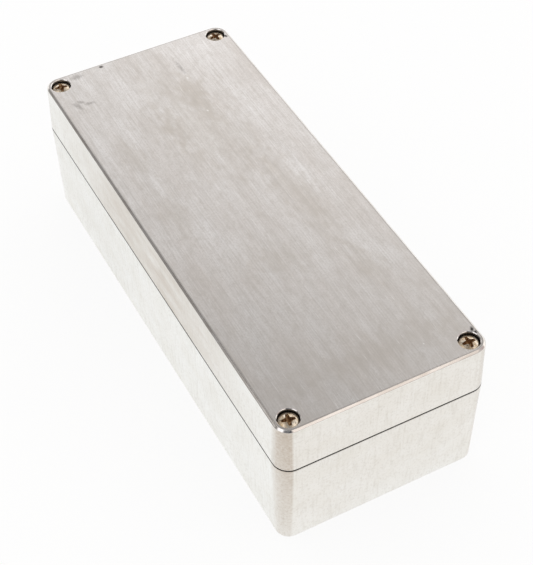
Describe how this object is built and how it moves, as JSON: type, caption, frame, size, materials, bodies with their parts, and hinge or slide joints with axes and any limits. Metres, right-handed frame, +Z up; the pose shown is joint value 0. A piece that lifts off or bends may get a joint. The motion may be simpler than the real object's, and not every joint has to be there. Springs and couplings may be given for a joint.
{
  "type": "die cast aluminium box",
  "caption": "Long rectangular die cast aluminium enclosure: a deep base and a shallow screwed lid, sealed by a gasket in a tongue and groove joint, with captive corner screws.",
  "frame": {"origin": "middle of the footprint, on the underside of the base", "axes": "+X along the box towards its right end, +Y across it towards the rear side, +Z up through the lid"},
  "size_m": [0.2, 0.08, 0.06],
  "materials": {
    "cast_aluminium": "die cast, tumbled, with the lid's face linished along its length",
    "neoprene": "matt",
    "zinc_plated_steel": "zinc plated and yellow passivated",
    "nylon": "natural moulded nylon"
  },
  "bodies": {
    "base": {"base": "cast_aluminium"},
    "lid": {"lid": "cast_aluminium", "gasket": "neoprene"},
    "retainer_front_left": {"retainer_front_left": "nylon"},
    "screw_front_left": {"lid_screw_front_left": "zinc_plated_steel"},
    "retainer_front_right": {"retainer_front_right": "nylon"},
    "screw_front_right": {"lid_screw_front_right": "zinc_plated_steel"},
    "retainer_rear_left": {"retainer_rear_left": "nylon"},
    "screw_rear_left": {"lid_screw_rear_left": "zinc_plated_steel"},
    "retainer_rear_right": {"retainer_rear_right": "nylon"},
    "screw_rear_right": {"lid_screw_rear_right": "zinc_plated_steel"}
  },
  "joints": [
    {"name": "lid_lift", "type": "slide", "parent": "base", "child": "lid", "axis": [0, 0, 1], "range_m": [0, 0.09]},
    {"name": "screw_lift_front_left", "type": "slide", "parent": "lid", "child": "retainer_front_left", "axis": [0, 0, 1], "range_m": [0, 0.0091]},
    {"name": "screw_turn_front_left", "type": "hinge", "parent": "retainer_front_left", "child": "screw_front_left", "pos_m": [-0.094, -0.034, 0.0566], "axis": [0, 0, 1], "range_deg": [0, 4680.5]},
    {"name": "screw_lift_front_right", "type": "slide", "parent": "lid", "child": "retainer_front_right", "axis": [0, 0, 1], "range_m": [0, 0.0091]},
    {"name": "screw_turn_front_right", "type": "hinge", "parent": "retainer_front_right", "child": "screw_front_right", "pos_m": [0.094, -0.034, 0.0566], "axis": [0, 0, 1], "range_deg": [0, 4680.5]},
    {"name": "screw_lift_rear_left", "type": "slide", "parent": "lid", "child": "retainer_rear_left", "axis": [0, 0, 1], "range_m": [0, 0.0091]},
    {"name": "screw_turn_rear_left", "type": "hinge", "parent": "retainer_rear_left", "child": "screw_rear_left", "pos_m": [-0.094, 0.034, 0.0566], "axis": [0, 0, 1], "range_deg": [0, 4680.5]},
    {"name": "screw_lift_rear_right", "type": "slide", "parent": "lid", "child": "retainer_rear_right", "axis": [0, 0, 1], "range_m": [0, 0.0091]},
    {"name": "screw_turn_rear_right", "type": "hinge", "parent": "retainer_rear_right", "child": "screw_rear_right", "pos_m": [0.094, 0.034, 0.0566], "axis": [0, 0, 1], "range_deg": [0, 4680.5]}
  ],
  "couplings": [
    {"joint": "screw_turn_front_left", "follows": "screw_lift_front_left", "rad_per_m": 8976},
    {"joint": "screw_turn_front_right", "follows": "screw_lift_front_right", "rad_per_m": 8976},
    {"joint": "screw_turn_rear_left", "follows": "screw_lift_rear_left", "rad_per_m": 8976},
    {"joint": "screw_turn_rear_right", "follows": "screw_lift_rear_right", "rad_per_m": 8976}
  ]
}
